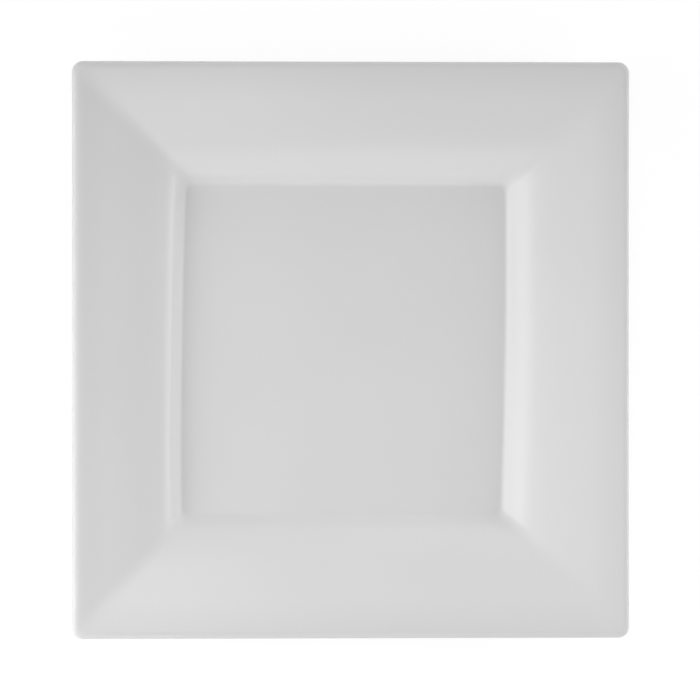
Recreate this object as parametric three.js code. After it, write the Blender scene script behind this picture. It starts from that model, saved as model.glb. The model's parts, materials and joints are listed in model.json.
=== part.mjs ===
import * as THREE from 'three';

// A square porcelain charger plate with a sunken well and a broad rim, in millimetres with +Z up.
// The origin is the middle of the face that it stands on.

// Plan sizes
const plateSide = 305; // across the finished lip
const rimWidth = 40.5; // from the lip in to the shoulder
const wallRun = 25.5; // from the shoulder in to the edge of the floor
const lipCornerRadius = 6; // of the outline's corners
const wellCornerRadius = 5; // of the floor's corners
const footCornerRadius = 8; // of the foot's outer corners

// Heights, stacked from the standing face up to the crest, where the lip's rounding starts
const bareTipHeight = 1.5; // wiped free of glaze, so that the plate doesn't stick in the kiln
const glazedFootHeight = 1.5; // from the glaze line up to the underside
const bodyThickness = 5; // of floor, wall and rim, with its glaze
const wallRise = 12.9; // from the floor up to the shoulder
const rimRise = 4.5; // from the shoulder up to the crest

// Section details
const glazeThickness = 0.3;
const rimEndSlope = 0.095; // rise per run at the crest
const lipRoundRun = 4.2; // how far in from the edge the lip's rounding starts
const footWidth = 7; // with its glaze
const footSetback = 0.8; // from the edge of the floor in to the foot's root fillet
const footRootFillet = 1.3;
const footTipRadius = 1.3;
const wallFootShare = 0.187; // of the wall's run, which its lower end takes to turn up
const shoulderShare = 0.8; // of the wall's run, which its upper end takes to level off
const filletShare = 0.9; // the most of its face that a fillet may take up

// Smoothness, in straight steps for each curve
const cornerSteps = 4;
const wallSteps = 9;
const rimSteps = 5;
const lipSteps = 10;
const filletSteps = 3;

// Derived places: half sizes count from the axis, heights from the standing face
const lipHalf = plateSide / 2;
const crestHalf = lipHalf - lipRoundRun;
const shoulderHalf = lipHalf - rimWidth;
const floorHalf = shoulderHalf - wallRun;
const rootFillet = Math.min(footRootFillet, filletShare * glazedFootHeight);
const footHalf = floorHalf - footSetback - rootFillet;
const footInnerHalf = footHalf - footWidth;
const footHeight = bareTipHeight + glazedFootHeight;
const floorUp = footHeight + bodyThickness;
const shoulderUp = floorUp + wallRise;
const crestUp = shoulderUp + rimRise;

const quarterTurn = Math.PI / 2;

const flat = (out, up) => new THREE.Vector2(out, up);

// Wall and rim as one smooth line, level at the floor, steepest low on the wall and nearly straight
// over the rim. The wall meets the rim at the slope with which the rim leaves the shoulder.
function risingLine(foot, shoulder, crest) {
  const halfRim = (crest.x - shoulder.x) / 2;
  const rimAim = flat(crest.x - halfRim, crest.y - rimEndSlope * halfRim);
  const rimWay = rimAim.clone().sub(shoulder).normalize();
  const run = shoulder.x - foot.x;
  const turnUp = flat(foot.x + wallFootShare * run, foot.y);
  const levelOff = shoulder.clone().addScaledVector(rimWay, -shoulderShare * run);
  const wall = new THREE.CubicBezierCurve(foot, turnUp, levelOff, shoulder);
  const rim = new THREE.QuadraticBezierCurve(shoulder, rimAim, crest);
  return [...wall.getPoints(wallSteps), ...rim.getPoints(rimSteps).slice(1)];
}

const quarterRound = (out, up, radius, from, to) =>
  new THREE.EllipseCurve(out, up, radius, radius, from, to, from > to).getPoints(filletSteps);

// A corner radius that changes evenly between two places
function cornerBetween(innerHalf, innerRadius, outerHalf, outerRadius) {
  return (out) => THREE.MathUtils.mapLinear(out, innerHalf, outerHalf, innerRadius, outerRadius);
}

// Each point of a section holds how far out its side lies, its corner radius and its height.
const withCorners = (line, cornerAt) => line.map((p) => new THREE.Vector3(p.x, cornerAt(p.x), p.y));

// The finished top: floor, wall and rim
const topLine = risingLine(
  flat(floorHalf, floorUp), flat(shoulderHalf, shoulderUp), flat(crestHalf, crestUp));
const floorCorner = cornerBetween(0, 0, floorHalf, wellCornerRadius);
const rimCorner = cornerBetween(floorHalf, wellCornerRadius, lipHalf, lipCornerRadius);
const topSection = [
  ...withCorners([flat(0, floorUp)], floorCorner),
  ...withCorners(topLine, rimCorner),
];

// The lip is half an ellipse as tall as the body is thick, slanted so that it carries on the rim's slope.
const lipRound = new THREE.EllipseCurve(
  crestHalf, crestUp - bodyThickness / 2, lipRoundRun, bodyThickness / 2, quarterTurn, -quarterTurn, true);
const lipLine = lipRound.getPoints(lipSteps).map((p) => flat(p.x, p.y + rimEndSlope * (p.x - crestHalf)));
const lipSection = withCorners(lipLine.slice(1), rimCorner);

// The underside is the top's line set down by the body's thickness, and out by as much as keeps the
// wall as thick as the floor. It ends in the root fillet and the glazed face of the foot.
const setOut = bodyThickness * Math.tan(Math.atan2(wallRise, wallRun) / 2);
const underLine = risingLine(
  flat(floorHalf + setOut, footHeight),
  flat(shoulderHalf + setOut, shoulderUp - bodyThickness),
  flat(crestHalf, crestUp - bodyThickness));
const underCorner = cornerBetween(footHalf, footCornerRadius, lipHalf, lipCornerRadius);
const underSection = withCorners([
  ...underLine.reverse().slice(1),
  ...quarterRound(footHalf + rootFillet, footHeight - rootFillet, rootFillet, quarterTurn, 2 * quarterTurn),
  flat(footHalf, bareTipHeight),
], underCorner);

// The recess inside the foot, from the glaze line in to the axis
const baseCorner = cornerBetween(0, 0, footHalf, footCornerRadius);
const baseSection = withCorners([
  flat(footInnerHalf, bareTipHeight),
  ...quarterRound(footInnerHalf - rootFillet, footHeight - rootFillet, rootFillet, 0, quarterTurn),
  flat(0, footHeight),
], baseCorner);

// The same section set in from its surface, square to it, with the corners drawn in as much
function setIn(section, depth) {
  const inward = (a, b) => flat(b.z - a.z, a.x - b.x).normalize();
  return section.map((p, i) => {
    const before = inward(section[Math.max(i - 1, 0)], section[Math.max(i, 1)]);
    const last = section.length - 1;
    const after = inward(section[Math.min(i, last - 1)], section[Math.min(i + 1, last)]);
    const shift = before.clone().add(after).multiplyScalar(depth / (1 + before.dot(after)));
    const corner = p.x > 0 ? p.y + shift.x : 0;
    return new THREE.Vector3(p.x + shift.x, corner, p.z + shift.y);
  });
}

// Glaze surfaces, and the clay surfaces that lie under them
const coatOuter = [...topSection, ...lipSection, ...underSection];
const coatInner = setIn(coatOuter, glazeThickness);
const baseInner = setIn(baseSection, glazeThickness);

// The foot's bare tip runs from the outer clay face round to the inner one.
const tipOuter = coatInner.at(-1);
const tipInner = baseInner[0];
const halfTip = (tipOuter.x - tipInner.x) / 2;
const tipRadius = Math.min(footTipRadius, filletShare * bareTipHeight, filletShare * halfTip);
const tipCorner = cornerBetween(tipInner.x, tipInner.y, tipOuter.x, tipOuter.y);
const tipSection = [
  tipOuter,
  ...withCorners([
    ...quarterRound(tipOuter.x - tipRadius, tipRadius, tipRadius, 0, -quarterTurn),
    ...quarterRound(tipInner.x + tipRadius, tipRadius, tipRadius, 3 * quarterTurn, 2 * quarterTurn),
  ], tipCorner),
  tipInner,
];

// Carries a section round the square. A section either starts and ends on the axis or closes on itself.
function sweptSquare(section) {
  const ringSize = 4 * (1 + cornerSteps);
  const positions = [];
  const rings = section.map(({ x: out, y: corner, z: up }) => {
    const first = positions.length / 3;
    if (out === 0) {
      positions.push(0, 0, up);
      return Array(ringSize).fill(first);
    }
    for (let quarter = 0; quarter < 4; quarter++) {
      const turn = quarter * quarterTurn;
      const centre = out - corner;
      for (let step = 0; step <= cornerSteps; step++) {
        const angle = step / cornerSteps * quarterTurn;
        const ahead = centre + corner * Math.cos(angle);
        const aside = centre + corner * Math.sin(angle);
        const [c, s] = [Math.round(Math.cos(turn)), Math.round(Math.sin(turn))];
        positions.push(c * ahead - s * aside, s * ahead + c * aside, up);
      }
    }
    return Array.from({ length: ringSize }, (_, i) => first + i);
  });

  const index = [];
  const addTriangle = (a, b, c) => {
    if (a !== b && b !== c && c !== a) index.push(a, b, c);
  };
  const onAxis = section[0].x === 0;
  const bands = onAxis ? section.length - 1 : section.length;
  for (let band = 0; band < bands; band++) {
    const next = (band + 1) % section.length;
    // Both sides of a shared surface take the same diagonal, whichever way they run along it.
    const outerFirst = section[band].x - section[next].x || section[band].z - section[next].z;
    for (let i = 0; i < ringSize; i++) {
      const j = (i + 1) % ringSize;
      const [a, b, c, d] = [rings[band][i], rings[next][i], rings[next][j], rings[band][j]];
      if (outerFirst > 0) {
        addTriangle(a, b, c);
        addTriangle(a, c, d);
      } else {
        addTriangle(a, b, d);
        addTriangle(b, c, d);
      }
    }
  }
  const geometry = new THREE.BufferGeometry();
  geometry.setAttribute('position', new THREE.Float32BufferAttribute(positions, 3));
  geometry.setIndex(index);
  geometry.computeVertexNormals();
  return geometry;
}

const firedClay = { color: 0xe9e6df, roughness: 0.6, metalness: 0 };
const whiteGlaze = { color: 0xf2f2f1, roughness: 0.15, metalness: 0 };

const plate = new THREE.Group();
function addPiece(name, section, finish) {
  const mesh = new THREE.Mesh(sweptSquare(section), new THREE.MeshStandardMaterial(finish));
  mesh.name = name;
  plate.add(mesh);
}

// Fired clay: the floor, wall and rim with the root of the foot, then the bare tip that it stands on
addPiece('plate_body', [...coatInner, ...baseInner], firedClay);
addPiece('foot_ring', tipSection, firedClay);

// Glaze: one coat over the top, the lip and the outside, and one inside the foot
addPiece('glaze_coat', [...coatOuter, ...coatInner.toReversed()], whiteGlaze);
addPiece('base_glaze', [...baseInner.toReversed(), ...baseSection], whiteGlaze);

export default plate;
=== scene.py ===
import json
import math

import bpy
from mathutils import Matrix, Vector
from mathutils.geometry import interpolate_bezier


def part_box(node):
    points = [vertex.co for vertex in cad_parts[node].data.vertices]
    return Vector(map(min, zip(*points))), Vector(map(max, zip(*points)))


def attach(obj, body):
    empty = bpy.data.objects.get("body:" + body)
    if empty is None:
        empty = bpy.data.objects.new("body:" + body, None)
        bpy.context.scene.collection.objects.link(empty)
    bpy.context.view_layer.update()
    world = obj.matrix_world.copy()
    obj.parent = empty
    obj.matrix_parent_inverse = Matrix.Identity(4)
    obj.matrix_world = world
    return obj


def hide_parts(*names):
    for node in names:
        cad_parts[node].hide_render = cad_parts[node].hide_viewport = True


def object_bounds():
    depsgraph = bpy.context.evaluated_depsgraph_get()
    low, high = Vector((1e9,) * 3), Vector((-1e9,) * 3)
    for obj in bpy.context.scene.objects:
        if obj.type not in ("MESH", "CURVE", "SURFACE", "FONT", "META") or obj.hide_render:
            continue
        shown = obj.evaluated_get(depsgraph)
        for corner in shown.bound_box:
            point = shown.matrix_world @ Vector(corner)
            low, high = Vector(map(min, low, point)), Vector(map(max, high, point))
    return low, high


# White square charger plate: porcelain swept round a rounded square, glazed, and lit like a catalogue shot
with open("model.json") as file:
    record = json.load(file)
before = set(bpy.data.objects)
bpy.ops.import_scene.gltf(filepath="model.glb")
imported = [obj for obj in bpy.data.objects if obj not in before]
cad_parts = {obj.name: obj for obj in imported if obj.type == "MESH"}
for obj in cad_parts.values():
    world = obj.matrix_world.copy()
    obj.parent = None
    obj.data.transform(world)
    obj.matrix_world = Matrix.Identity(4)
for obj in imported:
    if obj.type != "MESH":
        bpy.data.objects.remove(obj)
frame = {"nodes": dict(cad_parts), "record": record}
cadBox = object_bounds()
print("frame loaded:", sorted(frame["nodes"]))


# Heights and half widths that the frame already holds, in metres
mounts = {m["name"]: m for m in frame["record"]["mounts"]}
lipHalf = cadBox[1].x
lipUp = cadBox[1].z
floorUp = mounts["well_floor"]["pos_m"][2]
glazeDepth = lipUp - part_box("plate_body")[1].z
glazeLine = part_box("foot_ring")[1].z
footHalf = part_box("foot_ring")[1].x + glazeDepth
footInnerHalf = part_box("base_glaze")[1].x - glazeDepth
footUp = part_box("base_glaze")[1].z - glazeDepth
bodyDepth = floorUp - footUp

plateShape = {
    "rimWidth": 0.0405,  # lip in to the shoulder
    "wallRun": 0.0255,  # shoulder in to the edge of the floor
    "rimRise": 0.0045,  # shoulder up to the crest
    "rimEndSlope": 0.095,  # rise per run where the rim meets the lip's rounding
    "lipRoundRun": 0.0042,
    "rootFillet": 0.0013,
    "tipRadius": 0.0013,
    "wallFootShare": 0.187,  # of the wall's run, taken by its turn up from the floor
    "shoulderShare": 0.8,  # of the wall's run, taken by its turn over to the rim
    "floorRings": 8,  # points along each line
    "wallPoints": 20,
    "rimPoints": 16,
    "lipPoints": 20,
    "filletPoints": 6,
}
shoulderHalf = lipHalf - plateShape["rimWidth"]
floorHalf = shoulderHalf - plateShape["wallRun"]
crestHalf = lipHalf - plateShape["lipRoundRun"]
shoulderUp = lipUp - plateShape["rimRise"]
rimEndSlope = plateShape["rimEndSlope"]


# Sections are drawn in (out, up), from the middle of the top, over the lip, to the middle of the underside.
def bezierLine(start, startHandle, endHandle, end, count):
    return [Vector(p) for p in interpolate_bezier(start, startHandle, endHandle, end, count)]


def ellipseLine(centre, wide, high, fromDeg, toDeg, count):
    turns = [math.radians(fromDeg + (toDeg - fromDeg) * i / (count - 1)) for i in range(count)]
    return [centre + Vector((wide * math.cos(t), high * math.sin(t))) for t in turns]


def straightLine(start, end, count):
    return [start.lerp(end, i / (count - 1)) for i in range(count)]


def risingLine(foot, shoulder, crest):
    halfRim = (crest.x - shoulder.x) / 2
    rimAim = crest - Vector((halfRim, halfRim * rimEndSlope))
    rimWay = (rimAim - shoulder).normalized()
    run = shoulder.x - foot.x
    turnUp = foot + Vector((plateShape["wallFootShare"] * run, 0))
    levelOff = shoulder - rimWay * plateShape["shoulderShare"] * run
    wall = bezierLine(foot, turnUp, levelOff, shoulder, plateShape["wallPoints"])
    # a quadratic curve as a cubic one: both handles lie two thirds of the way to its aim
    handles = [shoulder.lerp(rimAim, 2 / 3), crest.lerp(rimAim, 2 / 3)]
    rim = bezierLine(shoulder, handles[0], handles[1], crest, plateShape["rimPoints"])
    return wall + rim[1:]


def setIn(line, depth):
    ways = [(b - a).normalized() for a, b in zip(line, line[1:])]
    inward = [Vector((w.y, -w.x)) for w in ways]
    moved = []
    for i, p in enumerate(line):
        before, after = inward[max(i - 1, 0)], inward[min(i, len(inward) - 1)]
        moved.append(p + (before + after) * (depth / (1 + before.dot(after))))
    return moved


fillet = plateShape["rootFillet"]
filletPoints = plateShape["filletPoints"]
topLine = straightLine(Vector((0, floorUp)), Vector((floorHalf, floorUp)), plateShape["floorRings"])
topLine += risingLine(
    Vector((floorHalf, floorUp)), Vector((shoulderHalf, shoulderUp)), Vector((crestHalf, lipUp)))[1:]
lipRound = ellipseLine(
    Vector((crestHalf, lipUp - bodyDepth / 2)), plateShape["lipRoundRun"], bodyDepth / 2,
    90, -90, plateShape["lipPoints"])
lipLine = [p + Vector((0, (p.x - crestHalf) * rimEndSlope)) for p in lipRound]
setOut = bodyDepth * math.tan(math.atan2(shoulderUp - floorUp, plateShape["wallRun"]) / 2)
underLine = risingLine(
    Vector((floorHalf + setOut, footUp)),
    Vector((shoulderHalf + setOut, shoulderUp - bodyDepth)),
    Vector((crestHalf, lipUp - bodyDepth)))[::-1]
underLine += ellipseLine(
    Vector((footHalf + fillet, footUp - fillet)), fillet, fillet, 90, 180, filletPoints)
underLine += [Vector((footHalf, glazeLine))]
baseLine = [Vector((footInnerHalf, glazeLine))]
baseLine += ellipseLine(
    Vector((footInnerHalf - fillet, footUp - fillet)), fillet, fillet, 0, 90, filletPoints)
baseLine += straightLine(
    Vector((footInnerHalf - fillet, footUp)), Vector((0, footUp)), plateShape["floorRings"])[1:]

coatLine = topLine + lipLine[1:] + underLine[1:]
coatInner = setIn(coatLine, glazeDepth)
baseInner = setIn(baseLine, glazeDepth)
tip = plateShape["tipRadius"]
tipLine = [coatInner[-1]]
tipLine += ellipseLine(Vector((coatInner[-1].x - tip, tip)), tip, tip, 0, -90, filletPoints)
tipLine += ellipseLine(Vector((baseInner[0].x + tip, tip)), tip, tip, 270, 180, filletPoints)
tipLine += [baseInner[0], coatInner[-1]]
widest = len(topLine) + len(lipLine) // 2 - 1  # points of the coat that lie above its widest place
print("sections drawn:", len(coatLine), "points over the coat")


# Noise: layers of detail, the ranges that most of its values lie in, and their middle
plainNoise = 1.0
softNoise = 2.0
fineNoise = 3.0
noiseSpread = (0.35, 0.65)
grainSpread = (0.3, 0.7)
noiseMiddle = 0.5

quarterTurn = math.pi / 2
halfStep = 0.5  # keeps a whole number from being rounded down


# Node trees: values fill a node's open sockets in order, and a socket among them is linked.
def newTree(name, kind, inputs, outputs):
    tree = bpy.data.node_groups.new(name, kind)
    for label, socketType, start in inputs:
        made = tree.interface.new_socket(label, in_out="INPUT", socket_type=socketType)
        if start is not None:
            made.default_value = start
    for label, socketType in outputs:
        tree.interface.new_socket(label, in_out="OUTPUT", socket_type=socketType)
    return tree, tree.nodes.new("NodeGroupInput").outputs, tree.nodes.new("NodeGroupOutput").inputs


def nodeMaker(tree):
    def put(kind, *inputs, **settings):
        node = tree.nodes.new(kind)
        for key, value in settings.items():
            setattr(node, key, value)
        sockets = [s for s in node.inputs if s.enabled]
        for socket, value in zip(sockets, inputs):
            if isinstance(value, bpy.types.NodeSocket):
                tree.links.new(value, socket)
            elif value is not None:
                socket.default_value = value
        return node

    def first(kind, *inputs, **settings):
        return next(s for s in put(kind, *inputs, **settings).outputs if s.enabled)

    def calc(operation, *inputs):
        return first("ShaderNodeMath", *inputs, operation=operation)

    return put, first, calc


# The square that a section is carried round, with what the kiln did to it
squareSizes = {
    "Lip Half": lipHalf,
    "Floor Half": floorHalf,
    "Foot Half": footHalf,
    "Lip Corner": 0.006,
    "Well Corner": 0.005,
    "Foot Corner": 0.008,
    "Side Bow": 0.0002,  # the left and right sides draw in this much half way along
    "Well Bow": 0.0010,  # and the well's walls beside them draw out this much
    "Well Lean": 0.015,  # slant of those two walls, as a slope
    "Rim Ripple": 0.0002,  # how far the rim rises and falls
    "Ripple Scale": 9.0,
    "Seed": 4.0,
    "Sharp Angle": math.radians(40),
    "Merge Distance": 1e-6,
}
squareSteps = {"Side Steps": 32, "Corner Steps": 12}


def makeCornerTree():
    inputs = [(name, "NodeSocketFloat", 0.0) for name in
              ("Out", "Inner Half", "Inner Corner", "Lip Half", "Lip Corner")]
    outputs = [("Corner", "NodeSocketFloat")]
    tree, given, result = newTree("cornerRadius", "GeometryNodeTree", inputs, outputs)
    _, first, calc = nodeMaker(tree)
    inner = first("ShaderNodeMapRange", given["Out"], 0.0, given["Inner Half"], 0.0, given["Inner Corner"])
    change = calc("SUBTRACT", given["Lip Corner"], given["Inner Corner"])
    outer = first("ShaderNodeMapRange", given["Out"], given["Inner Half"], given["Lip Half"], 0.0, change)
    tree.links.new(calc("ADD", inner, outer), result["Corner"])
    return tree


def makeSweepTree():
    inputs = [("Section", "NodeSocketGeometry", None)]
    inputs += [(name, "NodeSocketInt", 1) for name in squareSteps]
    inputs += [(name, "NodeSocketFloat", 0.0) for name in squareSizes]
    inputs += [("Finish", "NodeSocketMaterial", None)]
    outputs = [("Piece", "NodeSocketGeometry")]
    tree, given, result = newTree("sweptSquare", "GeometryNodeTree", inputs, outputs)
    put, first, calc = nodeMaker(tree)

    # a grid of section points by steps round the square
    quarterSteps = calc("ADD", given["Side Steps"], given["Corner Steps"])
    aroundCount = calc("ADD", calc("MULTIPLY", quarterSteps, 4.0), 1.0)
    size = put("GeometryNodeAttributeDomainSize", given["Section"], component="MESH")
    grid = first("GeometryNodeMeshGrid", 1.0, 1.0, size.outputs["Point Count"], aroundCount)
    index = first("GeometryNodeInputIndex")
    sectionIndex = calc("FLOOR", calc("DIVIDE", calc("ADD", index, halfStep), aroundCount))
    aroundIndex = calc("SUBTRACT", index, calc("MULTIPLY", sectionIndex, aroundCount))

    # what the section holds at that point
    def sampled(value, dataType):
        return first("GeometryNodeSampleIndex", given["Section"], value, sectionIndex,
                     data_type=dataType, domain="POINT")

    def attribute(name):
        return first("GeometryNodeInputNamedAttribute", name, data_type="FLOAT")

    point = put("ShaderNodeSeparateXYZ", sampled(first("GeometryNodeInputPosition"), "FLOAT_VECTOR"))
    out, up = point.outputs["X"], point.outputs["Z"]
    below = sampled(attribute("below"), "FLOAT")

    def corner(innerHalf, innerCorner):
        node = put("GeometryNodeGroup", node_tree=cornerTree)
        ties = {"Out": out, "Inner Half": given[innerHalf], "Inner Corner": given[innerCorner],
                "Lip Half": given["Lip Half"], "Lip Corner": given["Lip Corner"]}
        for name, source in ties.items():
            tree.links.new(source, node.inputs[name])
        return node.outputs["Corner"]

    topCorner = corner("Floor Half", "Well Corner")
    underCorner = corner("Foot Half", "Foot Corner")
    radius = first("ShaderNodeMix", below, topCorner, underCorner, data_type="FLOAT")

    # where this step lies on its side, from -1 to 1, or how far round the corner it has turned
    quarter = calc("FLOOR", calc("DIVIDE", calc("ADD", aroundIndex, halfStep), quarterSteps))
    step = calc("SUBTRACT", aroundIndex, calc("MULTIPLY", quarter, quarterSteps))
    sideShare = calc("MINIMUM", calc("DIVIDE", step, given["Side Steps"]), 1.0)
    along = calc("MULTIPLY_ADD", sideShare, 2.0, -1.0)
    pastSide = calc("MAXIMUM", calc("SUBTRACT", step, given["Side Steps"]), 0.0)
    angle = calc("MULTIPLY", calc("DIVIDE", pastSide, given["Corner Steps"]), quarterTurn)

    # shares from 0 to 1: from the axis to the floor's edge, from there to the lip, and that one turned round
    floorShare = first("ShaderNodeMapRange", out, 0.0, given["Floor Half"], 0.0, 1.0)
    rimShare = first("ShaderNodeMapRange", out, given["Floor Half"], given["Lip Half"], 0.0, 1.0)
    onTop = calc("SUBTRACT", 1.0, below)
    wallShare = calc("MULTIPLY", onTop, calc("SUBTRACT", 1.0, rimShare))

    # the rounded square, with its left and right sides bowed
    leftOrRight = calc("SUBTRACT", 1.0, calc("MODULO", quarter, 2.0))
    arch = calc("MULTIPLY", leftOrRight, calc("SUBTRACT", 1.0, calc("MULTIPLY", along, along)))
    drawnIn = calc("MULTIPLY", given["Side Bow"], rimShare)
    drawnOut = calc("MULTIPLY", given["Well Bow"], calc("MULTIPLY", wallShare, floorShare))
    bow = calc("MULTIPLY", calc("SUBTRACT", drawnIn, drawnOut), arch)
    centre = calc("SUBTRACT", out, radius)
    ahead = calc("SUBTRACT", calc("MULTIPLY_ADD", calc("COSINE", angle), radius, centre), bow)
    aside = calc("MULTIPLY_ADD", along, centre, calc("MULTIPLY", calc("SINE", angle), radius))
    flat = first("ShaderNodeCombineXYZ", ahead, aside, up)
    turn = calc("MULTIPLY", quarter, quarterTurn)
    square = first("ShaderNodeVectorRotate", flat, (0, 0, 0), turn, rotation_type="Z_AXIS")

    # the well's walls slant a little and the rim isn't quite level
    lean = calc("MULTIPLY", given["Well Lean"], wallShare)
    sidewise = calc("MULTIPLY", put("ShaderNodeSeparateXYZ", square).outputs["Y"], lean)
    noise = first("ShaderNodeTexNoise", square, given["Seed"], given["Ripple Scale"], plainNoise,
                  noise_dimensions="4D")
    ripple = calc("MULTIPLY", calc("SUBTRACT", noise, noiseMiddle), given["Rim Ripple"])
    shift = first("ShaderNodeCombineXYZ", sidewise, 0.0, calc("MULTIPLY", ripple, rimShare))
    placed = first("GeometryNodeSetPosition", grid, True, square, shift)
    for name in ("thin", "pool"):
        placed = first("GeometryNodeStoreNamedAttribute", placed, True, name,
                       sampled(attribute(name), "FLOAT"), data_type="FLOAT", domain="POINT")

    # closed seam and poles, smooth but for real edges
    joined = first("GeometryNodeMergeByDistance", placed, True, given["Merge Distance"])
    smooth = first("GeometryNodeSetShadeSmooth", joined, True, True, domain="FACE")
    sharp = first("FunctionNodeCompare", first("GeometryNodeInputMeshEdgeAngle"), given["Sharp Angle"],
                  data_type="FLOAT", operation="GREATER_THAN")
    edged = first("GeometryNodeSetShadeSmooth", smooth, sharp, False, domain="EDGE")
    real = first("GeometryNodeRealizeInstances", edged)
    tree.links.new(first("GeometryNodeSetMaterial", real, True, given["Finish"]), result["Piece"])
    return tree


cornerTree = makeCornerTree()
sweepTree = makeSweepTree()
print("sweep tree built:", len(sweepTree.nodes), "nodes")


# Effects that the finishes share
def makeSpotsGroup():
    inputs = [("Vector", "NodeSocketVector", None)]
    inputs += [(name, "NodeSocketFloat", 0.0) for name in ("Scale", "Share", "Radius")]
    tree, given, result = newTree("sparseSpots", "ShaderNodeTree", inputs, [("Mask", "NodeSocketFloat")])
    put, first, calc = nodeMaker(tree)
    cells = put("ShaderNodeTexVoronoi", given["Vector"], given["Scale"])
    chance = first("ShaderNodeSeparateColor", cells.outputs["Color"])
    kept = calc("LESS_THAN", chance, given["Share"])
    spot = first("ShaderNodeMapRange", cells.outputs["Distance"], 0.0, given["Radius"], 1.0, 0.0,
                 interpolation_type="SMOOTHSTEP")
    tree.links.new(calc("MULTIPLY", kept, spot), result["Mask"])
    return tree


def makeGrainGroup():
    inputs = [("Vector", "NodeSocketVector", None)]
    inputs += [(name, "NodeSocketColor", None) for name in ("Clay", "Shade", "Grit")]
    inputs += [(name, "NodeSocketFloat", 0.0) for name in
               ("Grain Scale", "Cloud Scale", "Grit Scale", "Grit Share", "Grit Radius",
                "Smoothest", "Roughest", "Grain Depth", "Grit Depth")]
    outputs = [("Colour", "NodeSocketColor"), ("Roughness", "NodeSocketFloat"), ("Height", "NodeSocketFloat")]
    tree, given, result = newTree("biscuitGrain", "ShaderNodeTree", inputs, outputs)
    _, first, calc = nodeMaker(tree)
    grain = first("ShaderNodeTexNoise", given["Vector"], given["Grain Scale"], fineNoise)
    cloud = first("ShaderNodeTexNoise", given["Vector"], given["Cloud Scale"], softNoise)
    grit = first("ShaderNodeGroup", given["Vector"], given["Grit Scale"], given["Grit Share"],
                 given["Grit Radius"], node_tree=spotsGroup)
    drift = calc("MULTIPLY", calc("ADD", grain, cloud), 0.5)
    shaded = first("ShaderNodeMapRange", drift, *noiseSpread, 0.0, 1.0)
    tone = first("ShaderNodeMix", shaded, given["Clay"], given["Shade"], data_type="RGBA")
    speckled = first("ShaderNodeMix", grit, tone, given["Grit"], data_type="RGBA")
    rough = first("ShaderNodeMapRange", grain, *grainSpread, given["Smoothest"], given["Roughest"])
    grainUp = calc("MULTIPLY", grain, given["Grain Depth"])
    gritUp = calc("MULTIPLY", grit, given["Grit Depth"])
    tree.links.new(speckled, result["Colour"])
    tree.links.new(rough, result["Roughness"])
    tree.links.new(calc("ADD", grainUp, gritUp), result["Height"])
    return tree


spotsGroup = makeSpotsGroup()
grainGroup = makeGrainGroup()


# Finishes: each has its Principled shader, and heights in metres go through one Bump.
def newMaterial(name):
    material = bpy.data.materials.new(name)
    material.use_nodes = True
    tree = material.node_tree
    tree.nodes.clear()
    put, first, calc = nodeMaker(tree)
    shader = put("ShaderNodeBsdfPrincipled")
    put("ShaderNodeOutputMaterial", shader.outputs["BSDF"])

    def feed(colour, roughness, height):
        bump = put("ShaderNodeBump")
        bump.inputs["Strength"].default_value = 1.0
        bump.inputs["Distance"].default_value = 1.0
        tree.links.new(height, bump.inputs["Height"])
        tree.links.new(colour, shader.inputs["Base Color"])
        tree.links.new(roughness, shader.inputs["Roughness"])
        tree.links.new(bump.outputs["Normal"], shader.inputs["Normal"])

    return material, feed, put, first, calc


def opaque(colour):
    return (*colour, 1.0)


pureWhite = opaque((1.0, 1.0, 1.0))

glazeLook = {
    "white": (0.735, 0.735, 0.735),
    "cloud": (0.745, 0.745, 0.746),  # slow drift of the white
    "cloudScale": 14.0,
    "thin": (0.695, 0.695, 0.694),  # at the lip, where the clay greys the glaze a little
    "lipGreyReach": 0.02,  # greyer towards the lip's edge
    "pool": (0.738, 0.739, 0.74),  # in the turn at the wall's foot
    "poolOut": 0.004,  # middle of that turn, out from the floor's edge
    "poolReach": 0.006,
    "speck": (0.5, 0.49, 0.47),
    "speckScale": 260.0,
    "speckShare": 0.004,
    "speckRadius": 0.06,
    "smoothest": 0.135,
    "roughest": 0.165,
    "lipRoughness": 0.05,  # more of it over the lip
    "peelScale": 900.0,
    "peelDepth": 2e-6,
    "waveScale": 90.0,
    "waveDepth": 1e-5,
    "pinholeScale": 420.0,
    "pinholeShare": 0.006,
    "pinholeRadius": 0.07,
    "pinholeDepth": 1.5e-5,
}


def makeGlaze(name, look):
    material, feed, put, first, calc = newMaterial(name)
    place = put("ShaderNodeTexCoord").outputs["Object"]
    thin = put("ShaderNodeAttribute", attribute_name="thin").outputs["Fac"]
    pool = put("ShaderNodeAttribute", attribute_name="pool").outputs["Fac"]

    def spots(kind):
        return first("ShaderNodeGroup", place, look[kind + "Scale"], look[kind + "Share"],
                     look[kind + "Radius"], node_tree=spotsGroup)

    def tinted(amount, under, over):
        return first("ShaderNodeMix", amount, under, opaque(over), data_type="RGBA")

    cloud = first("ShaderNodeTexNoise", place, look["cloudScale"], softNoise)
    drift = first("ShaderNodeMapRange", cloud, *noiseSpread, 0.0, 1.0)
    colour = tinted(drift, opaque(look["white"]), look["cloud"])
    # the glaze greys towards the lip's edge
    colour = tinted(thin, colour, look["thin"])
    colour = tinted(pool, colour, look["pool"])
    colour = tinted(spots("speck"), colour, look["speck"])

    sheen = first("ShaderNodeMapRange", cloud, *noiseSpread, look["smoothest"], look["roughest"])
    roughness = calc("MULTIPLY_ADD", thin, look["lipRoughness"], sheen)

    peel = first("ShaderNodeTexNoise", place, look["peelScale"], plainNoise)
    wave = first("ShaderNodeTexNoise", place, look["waveScale"], plainNoise)
    height = calc("MULTIPLY", peel, look["peelDepth"])
    height = calc("MULTIPLY_ADD", wave, look["waveDepth"], height)
    height = calc("MULTIPLY_ADD", spots("pinhole"), -look["pinholeDepth"], height)
    feed(colour, roughness, height)
    return material


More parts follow.
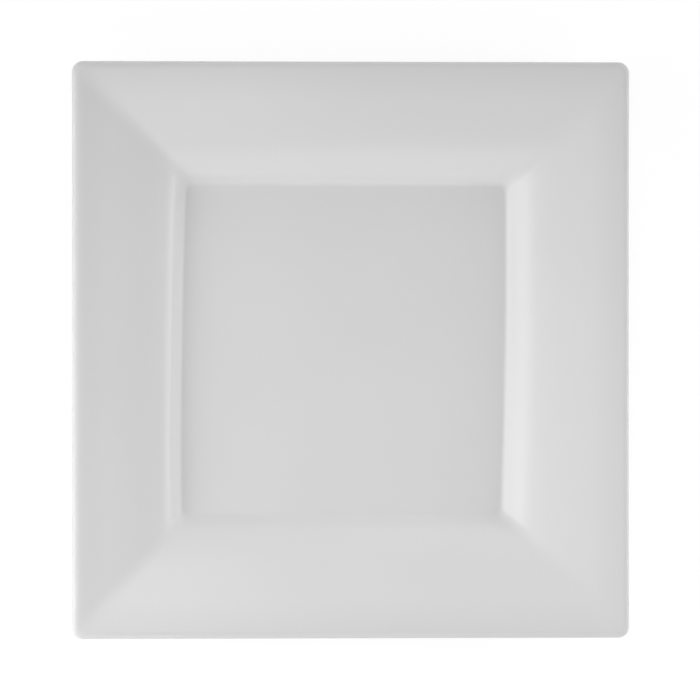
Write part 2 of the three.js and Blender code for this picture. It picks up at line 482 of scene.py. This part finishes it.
clayLook = {
    "Clay": opaque((0.81, 0.79, 0.74)),
    "Shade": opaque((0.77, 0.745, 0.69)),
    "Grit": opaque((0.58, 0.54, 0.47)),
    "Grain Scale": 1600.0,
    "Cloud Scale": 35.0,
    "Grit Scale": 520.0,
    "Grit Share": 0.06,
    "Grit Radius": 0.16,
    "Smoothest": 0.64,
    "Roughest": 0.8,
    "Grain Depth": 2e-5,
    "Grit Depth": -3e-5,
}
footLook = {
    **clayLook,
    "Clay": opaque((0.78, 0.76, 0.71)),
    "Shade": opaque((0.73, 0.705, 0.65)),
    "Grit Share": 0.1,
    "Grain Depth": 3e-5,
}
groundFace = {
    "tone": (0.7, 0.69, 0.66),  # polished off on the kiln shelf and by use
    "roughness": 0.42,
    "low": 0.00005,  # all ground below this height
    "high": 0.0004,  # and none above this one
    "scratchScale": (90.0, 2600.0, 90.0),
    "scratchTurn": 0.6,
    "scratchDepth": 8e-6,
}


def putGrain(material, put, look):
    grain = put("ShaderNodeGroup", node_tree=grainGroup)
    for name, value in look.items():
        grain.inputs[name].default_value = value
    place = put("ShaderNodeTexCoord").outputs["Object"]
    material.node_tree.links.new(place, grain.inputs["Vector"])
    return grain.outputs, place


def makeClay(name, look):
    material, feed, put, *_ = newMaterial(name)
    grain, _ = putGrain(material, put, look)
    feed(grain["Colour"], grain["Roughness"], grain["Height"])
    return material


def makeFoot(name, look):
    material, feed, put, first, calc = newMaterial(name)
    grain, place = putGrain(material, put, look)
    up = put("ShaderNodeSeparateXYZ", place).outputs["Z"]
    ground = first("ShaderNodeMapRange", up, groundFace["low"], groundFace["high"], 1.0, 0.0)
    combed = first("ShaderNodeMapping", place, (0, 0, 0), (0, 0, groundFace["scratchTurn"]),
                   groundFace["scratchScale"])
    scratch = first("ShaderNodeTexNoise", combed, 1.0, plainNoise)
    colour = first("ShaderNodeMix", ground, grain["Colour"], opaque(groundFace["tone"]), data_type="RGBA")
    roughness = first("ShaderNodeMix", ground, grain["Roughness"], groundFace["roughness"],
                      data_type="FLOAT")
    worn = calc("MULTIPLY", ground, calc("MULTIPLY", scratch, groundFace["scratchDepth"]))
    feed(colour, roughness, calc("ADD", grain["Height"], worn))
    return material


whiteGlaze = makeGlaze("whiteGlaze", glazeLook)
firedClay = makeClay("firedClay", clayLook)
bareFoot = makeFoot("bareFoot", footLook)
print("finishes made:", whiteGlaze.name, firedClay.name, bareFoot.name)


# Pieces
def sectionMesh(name, line, below):
    # how far the glaze greys, rising to 1 at the lip's edge
    thin = [max(0.0, 1 - abs(p.x - lipHalf) / glazeLook["lipGreyReach"]) for p in line]
    poolMiddle = floorHalf + glazeLook["poolOut"]
    pool = [math.exp(-((p.x - poolMiddle) / glazeLook["poolReach"]) ** 2) for p in line]
    mesh = bpy.data.meshes.new(name)
    mesh.from_pydata([(p.x, 0, p.y) for p in line], [(i, i + 1) for i in range(len(line) - 1)], [])
    for label, values in (("below", below), ("thin", thin), ("pool", pool)):
        mesh.attributes.new(label, "FLOAT", "POINT").data.foreach_set("value", values)
    return mesh


def sweepPiece(name, line, below, finish, node):
    drawn = bpy.data.objects.new(name + "Section", sectionMesh(name + "Section", line, below))
    bpy.context.scene.collection.objects.link(drawn)
    modifier = drawn.modifiers.new("sweep", "NODES")
    modifier.node_group = sweepTree
    values = {**squareSizes, **squareSteps, "Finish": finish}
    for item in sweepTree.interface.items_tree:
        if item.in_out == "INPUT" and item.name in values:
            modifier[item.identifier] = values[item.name]
    depsgraph = bpy.context.evaluated_depsgraph_get()
    mesh = bpy.data.meshes.new_from_object(drawn.evaluated_get(depsgraph), depsgraph=depsgraph)
    mesh.name = name
    drawn.modifiers.remove(modifier)
    bpy.data.objects.remove(drawn)
    piece = bpy.data.objects.new(name, mesh)
    bpy.context.scene.collection.objects.link(piece)
    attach(piece, "root")
    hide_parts(node)
    print("piece made:", name, len(mesh.polygons), "faces")


# a coat is drawn along its outside and then back along the clay
coatBelow = [0.0] * widest + [1.0] * (len(coatLine) - widest)
baseBelow = [1.0] * len(baseLine)
tipBelow = [1.0] * len(tipLine)
coatRound = coatLine + coatInner[::-1]
sweepPiece("glazeCoat", coatRound, coatBelow + coatBelow[::-1], whiteGlaze, "glaze_coat")
sweepPiece("baseGlaze", baseInner[::-1] + baseLine, baseBelow * 2, whiteGlaze, "base_glaze")
sweepPiece("plateBody", coatInner + baseInner, coatBelow + baseBelow, firedClay, "plate_body")
sweepPiece("footRing", tipLine, tipBelow, bareFoot, "foot_ring")


# Floor, light and camera
def wayTo(azimuth, elevation):
    turn, rise = math.radians(azimuth), math.radians(elevation)
    return Vector((math.cos(turn) * math.cos(rise), math.sin(turn) * math.cos(rise), math.sin(rise)))


def seenAsBackdrop(put, calc):
    path = put("ShaderNodeLightPath").outputs
    straight = calc("MAXIMUM", path["Is Camera Ray"], path["Is Glossy Ray"])
    return calc("MAXIMUM", straight, path["Is Transmission Ray"])


floorLook = {
    "half": 30.0,
    "paper": (0.9, 0.9, 0.9),
    "shading": (0.18, 0.18, 0.18),  # as much of it as shows the plate's shadow
    "glow": 0.875,  # what else makes the paper white to look at
}


def makeFloor():
    half = floorLook["half"]
    mesh = bpy.data.meshes.new("floor")
    corners = [(-half, -half, 0), (half, -half, 0), (half, half, 0), (-half, half, 0)]
    mesh.from_pydata(corners, [], [(0, 1, 2, 3)])
    floor = bpy.data.objects.new("floor", mesh)
    bpy.context.scene.collection.objects.link(floor)
    material = bpy.data.materials.new("whitePaper")
    material.use_nodes = True
    material.node_tree.nodes.clear()
    put, first, calc = nodeMaker(material.node_tree)
    paper = first("ShaderNodeBsdfDiffuse", opaque(floorLook["paper"]))
    shading = first("ShaderNodeBsdfDiffuse", opaque(floorLook["shading"]))
    white = first("ShaderNodeEmission", pureWhite, floorLook["glow"])
    backdrop = first("ShaderNodeAddShader", shading, white)
    sheet = first("ShaderNodeMixShader", seenAsBackdrop(put, calc), paper, backdrop)
    fromBelow = put("ShaderNodeNewGeometry").outputs["Backfacing"]
    clear = first("ShaderNodeBsdfTransparent")
    put("ShaderNodeOutputMaterial", first("ShaderNodeMixShader", fromBelow, sheet, clear))
    mesh.materials.append(material)


# Azimuth runs from the plate's right round by its back. Only mirrored softboxes show in the glaze.
openSpread = 180  # degrees, of a softbox that doesn't name its own
nearLamp = {"distance": 0.6, "side": 0.35, "mirrored": False}
softboxes = {
    "leftWide": {
        "azimuth": 180, "elevation": 35, "distance": 1.2, "side": 0.6, "watts": 1.53, "mirrored": True},
    "rightWide": {
        "azimuth": 0, "elevation": 30, "distance": 1.0, "side": 1.0, "watts": 1.9, "mirrored": True},
    "overhead": {
        "azimuth": 0, "elevation": 90, "distance": 0.7, "side": 0.3, "watts": 0.206, "mirrored": True},
    "backBeam": {
        "azimuth": 120, "elevation": 60, "distance": 0.7, "side": 0.3, "watts": 0.218, "mirrored": False,
        "spread": 80},
    "leftNear": {**nearLamp, "azimuth": 210, "elevation": 25, "watts": 1.14},
    "rightNear": {**nearLamp, "azimuth": 0, "elevation": 25, "watts": 0.64},
    "frontNear": {**nearLamp, "azimuth": 270, "elevation": 25, "watts": 0.45},
    "frontRight": {**nearLamp, "azimuth": 330, "elevation": 25, "watts": 0.377},
    "frontHigh": {**nearLamp, "azimuth": 270, "elevation": 45, "watts": 0.165},
}
skyGlows = {
    "left": {"azimuth": 180, "elevation": 8, "tightness": 20.0, "strength": 6.1},
    "front": {"azimuth": 270, "elevation": 2, "tightness": 100.0, "strength": 11.6},
    "backRight": {"azimuth": 60, "elevation": 8, "tightness": 20.0, "strength": 4.1},
    "back": {"azimuth": 90, "elevation": 8, "tightness": 20.0, "strength": 1.44},
    "right": {"azimuth": 0, "elevation": 8, "tightness": 20.0, "strength": 1.55},
}
# how much darker or brighter than the white backdrop the glaze finds the room
mirroredTones = {
    "rightGap": {"azimuth": 0, "elevation": 54, "tightness": 20.0, "strength": -0.95},
    "rightGapBelow": {"azimuth": 0, "elevation": 35, "tightness": 40.0, "strength": -0.95},
    "rightLow": {"azimuth": 0, "elevation": 6, "tightness": 40.0, "strength": 0.75},
    "leftHigh": {"azimuth": 180, "elevation": 52, "tightness": 30.0, "strength": 1.4},
    "frontHigh": {"azimuth": 293, "elevation": 48, "tightness": 30.0, "strength": 0.8},
    "frontLow": {"azimuth": 285, "elevation": 6, "tightness": 40.0, "strength": 0.5},
}


def makeSoftbox(name, values):
    lamp = bpy.data.lights.new(name, "AREA")
    lamp.shape = "SQUARE"
    lamp.size = values["side"]
    lamp.energy = values["watts"]
    lamp.spread = math.radians(values.get("spread", openSpread))
    softbox = bpy.data.objects.new(name, lamp)
    way = wayTo(values["azimuth"], values["elevation"])
    softbox.location = way * values["distance"]
    softbox.rotation_euler = way.to_track_quat("Z", "Y").to_euler()
    softbox.visible_glossy = values["mirrored"]
    bpy.context.scene.collection.objects.link(softbox)


def makeWorld():
    world = bpy.data.worlds.new("studio")
    world.use_nodes = True
    world.node_tree.nodes.clear()
    put, first, calc = nodeMaker(world.node_tree)
    sky = put("ShaderNodeTexCoord").outputs["Generated"]

    def lobe(values):
        towards = wayTo(values["azimuth"], values["elevation"])
        facing = put("ShaderNodeVectorMath", sky, towards, operation="DOT_PRODUCT").outputs["Value"]
        return calc("POWER", calc("MAXIMUM", facing, 0.0), values["tightness"])

    def lobes(kinds):
        total = 0.0
        for values in kinds.values():
            total = calc("MULTIPLY_ADD", lobe(values), values["strength"], total)
        return total

    glow = first("ShaderNodeBackground", pureWhite, lobes(skyGlows))
    mirrored = put("ShaderNodeLightPath").outputs["Is Glossy Ray"]
    white = calc("MAXIMUM", calc("MULTIPLY_ADD", lobes(mirroredTones), mirrored, 1.0), 0.0)
    backdrop = first("ShaderNodeBackground", pureWhite, white)
    put("ShaderNodeOutputWorld", first("ShaderNodeMixShader", seenAsBackdrop(put, calc), glow, backdrop))
    bpy.context.scene.world = world


cameraView = {
    "tilt": 15.0,  # degrees off straight down, towards the plate's left
    "lens": 1500.0,
    "frameWidth": 0.3707,  # metres across the picture at the plate
    "centreX": 0.00537,  # what the picture's middle shows, to the right of the origin as the camera sees it
    "centreY": 0.0,
}


def makeCamera():
    data = bpy.data.cameras.new("camera")
    data.lens = cameraView["lens"]
    camera = bpy.data.objects.new("camera", data)
    tilt = math.radians(cameraView["tilt"])
    right = Vector((math.cos(tilt), 0, math.sin(tilt)))
    upward = Vector((0, 1, 0))
    back = right.cross(upward)
    distance = cameraView["frameWidth"] * data.lens / data.sensor_width
    place = right * cameraView["centreX"] + upward * cameraView["centreY"] + back * distance
    turn = Matrix((right, upward, back)).transposed().to_4x4()
    camera.matrix_world = Matrix.Translation(place) @ turn
    data.clip_end = 2 * distance
    bpy.context.scene.collection.objects.link(camera)
    bpy.context.scene.camera = camera


makeFloor()
for name, values in softboxes.items():
    makeSoftbox(name + "Softbox", values)
makeWorld()
makeCamera()
bpy.context.scene.view_settings.view_transform = "Standard"
print("floor, light and camera set")
